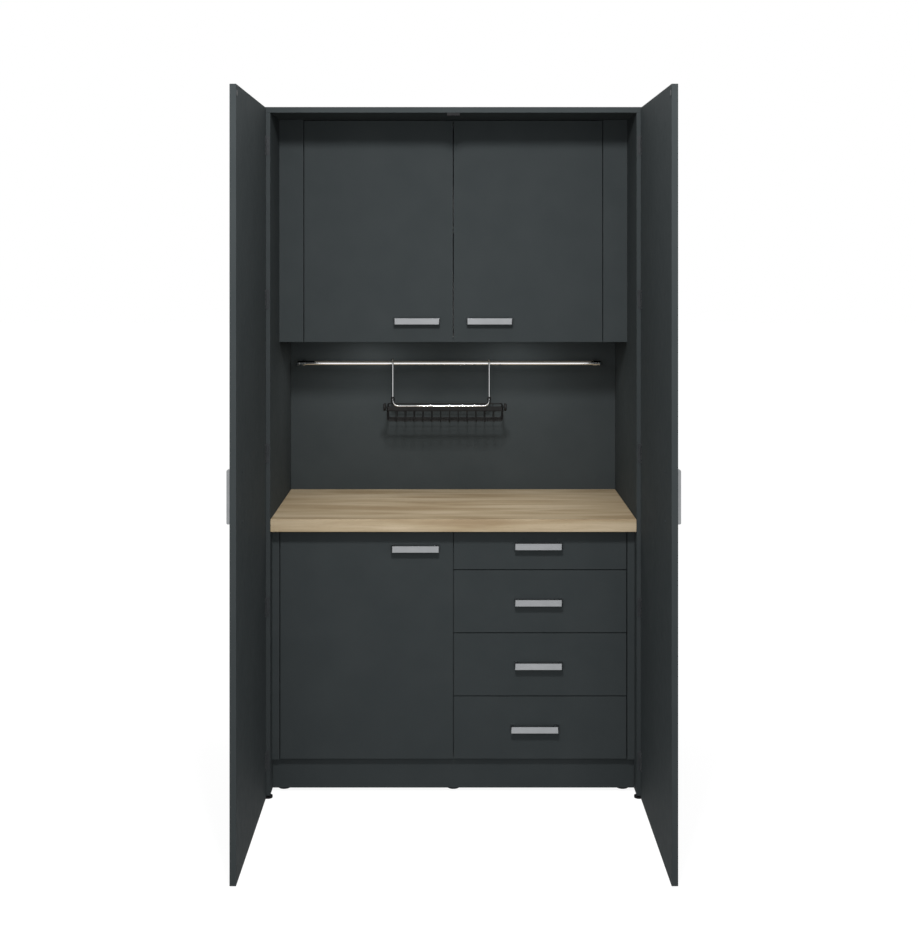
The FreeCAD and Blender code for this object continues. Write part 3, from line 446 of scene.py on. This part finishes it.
def make_basket():
    """Round welded wires under a flat front rim, with round end pieces.

    The chrome frame stands inside the basket, against its back, held there by two black sleeves.
    """
    low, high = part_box("hanging_basket")
    frame_low, frame_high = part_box("hanging_frame")
    thin, thick, rim_radius = 1.6 * MM, 2.6 * MM, 2 * MM
    wire, knob_radius, knob_length = 4 * MM, 13 * MM, 9 * MM
    bend, second_ring_drop = 9 * MM, 11 * MM
    bays, side_bays, side_margin = 13, 5, 0.4
    left, right = low.x + knob_length, high.x - knob_length
    front, aft = low.y + wire, high.y - wire / 2
    bottom, top = low.z, high.z - knob_radius + wire / 2
    rim_z = top - thick
    floor_z = bottom + thin
    inner, fore = left + thick + thin, front + thick + thin
    reach = right - left - 2 * (thick + thin)
    shape = Shape()
    runs = []

    ring = [(left + thick, front + thick), (right - thick, front + thick)]
    ring += [(right - thick, aft), (left + thick, aft)]
    for z, radius in ((rim_z, rim_radius), (rim_z - second_ring_drop, thin)):
        path = rounded([(x, y, z) for x, y in ring], bend, closed=True)
        runs.append((path, radius, True))
    for i in range(1, bays):
        x = inner + reach * i / bays
        points = [(x, fore, rim_z), (x, fore, floor_z), (x, aft, floor_z), (x, aft, rim_z)]
        runs.append((rounded(points, bend), thin, False))
    for i in range(side_bays + 1):
        y = fore + (aft - fore) * (i + side_margin) / (side_bays + 2 * side_margin)
        over = floor_z + 2 * thin
        points = [(inner, y, rim_z), (inner, y, over)]
        points += [(inner + reach, y, over), (inner + reach, y, rim_z)]
        runs.append((rounded(points, bend), thin, False))

    # Each sleeve slips over an upright of the frame, between two short wires of the basket
    hook_radius = 3.5 * MM
    sleeve_radius, sleeve_length, sleeve_chamfer = 5.4 * MM, 7 * MM, 0.3 * MM
    sleeve_foot, wire_head, wire_offset = 1220.5 * MM, 1222 * MM, 5.2 * MM
    sleeve = [(hook_radius, 0), (sleeve_radius, sleeve_chamfer)]
    sleeve += [(sleeve_radius, sleeve_length - sleeve_chamfer), (hook_radius, sleeve_length)]
    upright_y = frame_low.y + hook_radius
    for x in (frame_low.x + hook_radius, frame_high.x - hook_radius):
        for way in (-1, 1):
            beside = x + way * wire_offset
            runs.append(([(beside, aft, rim_z), (beside, aft, wire_head)], thin, False))
        shape.turned(sleeve, (x, upright_y, sleeve_foot), (0, 0, 1), 20)
    shape.wires(runs)

    band_inset, band_height, band_thickness = 7 * MM, 13 * MM, 1.6 * MM
    shape.slab(
        (left + band_inset, front, top - band_height),
        (right - band_inset, front + band_thickness, top),
    )
    chamfer, dome, crown = 1.2 * MM, 2 * MM, 0.2 * MM
    knob = [(0, 0), (knob_radius - chamfer, 0), (knob_radius, chamfer)]
    knob += [(knob_radius, knob_length - dome), (knob_radius - dome, knob_length)]
    knob.append((0, knob_length + crown))
    for x, way in ((left, -1), (right, 1)):
        place = (x, low.y + knob_radius, high.z - knob_radius)
        shape.turned(knob, place, (way, 0, 0), 28)
    shape.piece("hanging_basket_wires", "black_wire", "hanging_shelf_body", "hanging_basket")


# Fittings


def tall_door_inner_face(name, side):
    """Where the inner face of an open tall door lies along X."""
    low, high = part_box(name)
    return low.x if side > 0 else high.x


def make_tall_hinge_screws():
    """Screws in the tall doors' hinge leaves, on the housing and on the doors."""
    low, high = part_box("tall_hinge_frame_leaves")
    leaf_length, count, shares = 60 * MM, 5, (0.14, 0.5, 0.86)
    leaf_depth, housing_x, door_inset = 1.5 * MM, 588 * MM, 5.5 * MM
    housing_screw, door_screw = 2.1 * MM, 2.4 * MM
    step = (high.z - leaf_length - low.z) / (count - 1)
    rows = [low.z + step * i + share * leaf_length for i in range(count) for share in shares]
    housing = Shape()
    for side in (-1, 1):
        for z in rows:
            place = (side * housing_x, FRONT_Y - leaf_depth, z)
            housing.screw(place, (0, -1, 0), housing_screw)
    housing.piece("tall_hinge_screws_frame", "black_steel", "housing")
    for name, side in TALL_DOORS:
        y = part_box(f"{name}_hinge_leaves")[0].y + door_inset
        face = tall_door_inner_face(name, side)
        door = Shape()
        for z in rows:
            door.screw((face, y, z), (-side, 0, 0), door_screw)
        door.piece(f"{name}_hinge_screws", "black_steel", f"{name}_body")


def make_handle_caps():
    """Caps over the handles' screws, on the inner faces of the doors."""
    radius, height = 5 * MM, 0.8 * MM
    for name, _ in CABINET_DOORS:
        low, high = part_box(f"{name}_handle")
        shape = Shape()
        for x in (low.x + HANDLE_SCREW_INSET, high.x - HANDLE_SCREW_INSET):
            place = (x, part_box(name)[1].y, (low.z + high.z) / 2)
            shape.cap(place, (0, 1, 0), radius, height)
        shape.piece(f"{name}_handle_caps", "black_plastic", f"{name}_body")
    for name, side in TALL_DOORS:
        low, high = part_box(f"{name}_handle")
        face = tall_door_inner_face(name, side)
        shape = Shape()
        for z in (low.z + HANDLE_SCREW_INSET, high.z - HANDLE_SCREW_INSET):
            shape.cap((face, (low.y + high.y) / 2, z), (-side, 0, 0), radius, height)
        shape.piece(f"{name}_handle_caps", "anthracite_board", f"{name}_body")


def make_drawer_handle_screws():
    """Screws of the drawers' handles, on the inner face of each box's front board."""
    board, radius = 12 * MM, 3.5 * MM
    for number in DRAWERS:
        low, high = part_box(f"drawer_{number}_handle")
        inner_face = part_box(f"drawer_{number}_box")[0].y + board
        shape = Shape()
        for x in (low.x + HANDLE_SCREW_INSET, high.x - HANDLE_SCREW_INSET):
            shape.screw((x, inner_face, (low.z + high.z) / 2), (0, 1, 0), radius)
        shape.piece(f"drawer_{number}_handle_screws", "bright_steel", f"drawer_{number}_body")


def make_concealed_hinge_screws():
    """Screws in the flanges of the hinge cups, and in the plates of the hinge arms.

    Each door gives the way to its free edge, its cups' place along X and its hinges' heights, in mm.
    """
    flange, cup_spread, cup_screw = 1 * MM, 21.5 * MM, 3 * MM
    wall_offset, plate_depth, plate_spread, plate_screw = 0.5 * MM, 53 * MM, 9 * MM, 2.6 * MM
    plates = Shape()
    for name, way_in, x, heights in (
        ("upper_door_left", 1, -478, (1539, 2079)),
        ("upper_door_right", -1, 478, (1539, 2079)),
        ("base_door", 1, -535, (213, 747)),
    ):
        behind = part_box(name)[1].y
        cup_x = x * MM
        wall_x = cup_x + way_in * wall_offset
        cups = Shape()
        for z in heights:
            for way in (-1, 1):
                cup_place = (cup_x, behind + flange, z * MM + way * cup_spread)
                cups.screw(cup_place, (0, 1, 0), cup_screw)
                plate_place = (wall_x, behind + plate_depth, z * MM + way * plate_spread)
                plates.screw(plate_place, (way_in, 0, 0), plate_screw)
        cups.piece(f"{name}_hinge_screws", "bright_steel", f"{name}_body")
    plates.piece("hinge_plate_screws", "bright_steel", "housing")


def make_door_buffers():
    """Soft buffers inside the free corners of the cabinet doors."""
    inset, radius, height = 9 * MM, 4 * MM, 1.6 * MM
    for name, side in CABINET_DOORS:
        low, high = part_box(name)
        free = high.x if side > 0 else low.x
        shape = Shape()
        for z in (low.z + inset, high.z - inset):
            shape.cap((free - side * inset, high.y, z), (0, 1, 0), radius, height)
        shape.piece(f"{name}_buffers", "black_plastic", f"{name}_body")


def make_back_screws():
    """Screws that hold the back panel, round its edge and along the cabinets' decks."""
    low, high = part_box("housing_back")
    shape = Shape()
    rows, columns = 9, 5
    edge, radius = 9 * MM, 3.5 * MM
    base_rail_z, upper_deck_z = 842 * MM, 1447 * MM
    places = []
    for i in range(rows + 1):
        z = low.z + edge + (high.z - low.z - 2 * edge) * i / rows
        places += [(low.x + edge, z), (high.x - edge, z)]
    for i in range(1, columns):
        x = low.x + edge + (high.x - low.x - 2 * edge) * i / columns
        heights = (low.z + edge, high.z - edge, base_rail_z, upper_deck_z)
        places += [(x, z) for z in heights]
    for x, z in places:
        shape.screw((x, high.y, z), (0, 1, 0), radius)
    shape.piece("back_panel_screws", "bright_steel", "housing")


# Room, light and camera


def seen_or_mirrored(tree):
    """1 where a surface is seen directly, in a mirror or through glass, 0 where it only lights."""
    path = tree.nodes.new("ShaderNodeLightPath")
    total = path.outputs["Is Camera Ray"]
    for name in ("Is Glossy Ray", "Is Transmission Ray"):
        add = tree.nodes.new("ShaderNodeMath")
        add.operation = "MAXIMUM"
        tree.links.new(total, add.inputs[0])
        tree.links.new(path.outputs[name], add.inputs[1])
        total = add.outputs[0]
    return total


def make_room():
    """White where it is seen, and dimmer where it only lights."""
    world = bpy.data.worlds.new("white_room")
    bpy.context.scene.world = world
    world.use_nodes = True
    tree = world.node_tree
    tree.nodes.clear()
    lighting = tree.nodes.new("ShaderNodeBackground")
    lighting.inputs["Strength"].default_value = ROOM_LIGHT
    shown = tree.nodes.new("ShaderNodeBackground")
    mix = tree.nodes.new("ShaderNodeMixShader")
    output = tree.nodes.new("ShaderNodeOutputWorld")
    for background in (lighting, shown):
        background.inputs["Color"].default_value = (1, 1, 1, 1)
    tree.links.new(seen_or_mirrored(tree), mix.inputs[0])
    tree.links.new(lighting.outputs[0], mix.inputs[1])
    tree.links.new(shown.outputs[0], mix.inputs[2])
    tree.links.new(mix.outputs[0], output.inputs["Surface"])


def make_floor():
    """A floor that reads as white where it is seen, and still takes the unit's shadow."""
    mesh = bpy.data.meshes.new("floor")
    half = FLOOR_SIZE / 2
    corners = [(-half, -half, 0), (half, -half, 0), (half, half, 0), (-half, half, 0)]
    mesh.from_pydata(corners, [], [(0, 1, 2, 3)])
    floor = bpy.data.objects.new("floor", mesh)
    bpy.context.scene.collection.objects.link(floor)
    material = bpy.data.materials.new("white_floor")
    material.use_nodes = True
    tree = material.node_tree
    tree.nodes.clear()
    matt = tree.nodes.new("ShaderNodeBsdfDiffuse")
    matt.inputs["Color"].default_value = FLOOR_COLOUR
    glow = tree.nodes.new("ShaderNodeEmission")
    add = tree.nodes.new("ShaderNodeAddShader")
    tree.links.new(matt.outputs[0], add.inputs[0])
    tree.links.new(glow.outputs[0], add.inputs[1])
    share = tree.nodes.new("ShaderNodeMath")
    share.operation = "MULTIPLY"
    share.inputs[1].default_value = FLOOR_GLOW
    tree.links.new(seen_or_mirrored(tree), share.inputs[0])
    tree.links.new(share.outputs[0], glow.inputs["Strength"])
    output = tree.nodes.new("ShaderNodeOutputMaterial")
    tree.links.new(add.outputs[0], output.inputs["Surface"])
    mesh.materials.append(material)


def area_lamp(name, power, sides, place):
    """A lamp that faces down and is never seen: a disc for one side, a rectangle for two."""
    lamp = bpy.data.lights.new(name, "AREA")
    lamp.shape = "DISK" if len(sides) == 1 else "RECTANGLE"
    lamp.size, lamp.size_y = sides[0], sides[-1]
    lamp.energy = power
    holder = bpy.data.objects.new(name, lamp)
    bpy.context.scene.collection.objects.link(holder)
    holder.location = place
    holder.visible_camera = False
    holder.visible_glossy = False
    return holder


def make_lamps():
    """A lamp high in front, a wide soft fill, two in the niche and one under the ceiling.

    Only the front lamp shows in shiny surfaces.
    """
    front = area_lamp("front_lamp", FRONT_POWER, FRONT_SIZE, FRONT_PLACE)
    front.visible_glossy = True
    aim = Vector(FRONT_AIM) - front.location
    front.rotation_euler = aim.to_track_quat("-Z", "Y").to_euler()
    fill = area_lamp("wide_fill", FILL_POWER, FILL_SIZE, FILL_PLACE)
    fill.rotation_euler = (math.pi / 2, 0, 0)
    for place in NICHE_PLACES:
        area_lamp("niche_lamp", NICHE_POWER, NICHE_SIZE, place)
    ceiling = area_lamp("ceiling_lamp", CEILING_POWER, CEILING_SIZE, CEILING_PLACE)
    ceiling.data.spread = CEILING_SPREAD


def make_camera():
    """Level and square to the unit. The shift puts the vanishing point where the photograph has it."""
    data = bpy.data.cameras.new("camera")
    data.sensor_width = SENSOR_MM
    long_side = max(PICTURE_WIDTH, PICTURE_HEIGHT)
    focal_pixels = CAMERA_DISTANCE / MM / MM_PER_PIXEL_AT_FRONT
    data.lens = SENSOR_MM * focal_pixels / long_side
    data.shift_x = (PICTURE_WIDTH / 2 - VANISHING_X) / long_side
    data.shift_y = (VANISHING_Y - PICTURE_HEIGHT / 2) / long_side
    camera = bpy.data.objects.new("camera", data)
    bpy.context.scene.collection.objects.link(camera)
    camera.location = (CAMERA_X, FRONT_Y - CAMERA_DISTANCE, CAMERA_Z)
    camera.rotation_euler = (math.pi / 2, 0, 0)
    bpy.context.scene.camera = camera


bpy.context.scene.view_settings.view_transform = "Standard"
dress_nodes()
make_basket()
make_tall_hinge_screws()
make_handle_caps()
make_drawer_handle_screws()
make_concealed_hinge_screws()
make_door_buffers()
make_back_screws()
make_room()
make_floor()
make_lamps()
make_camera()
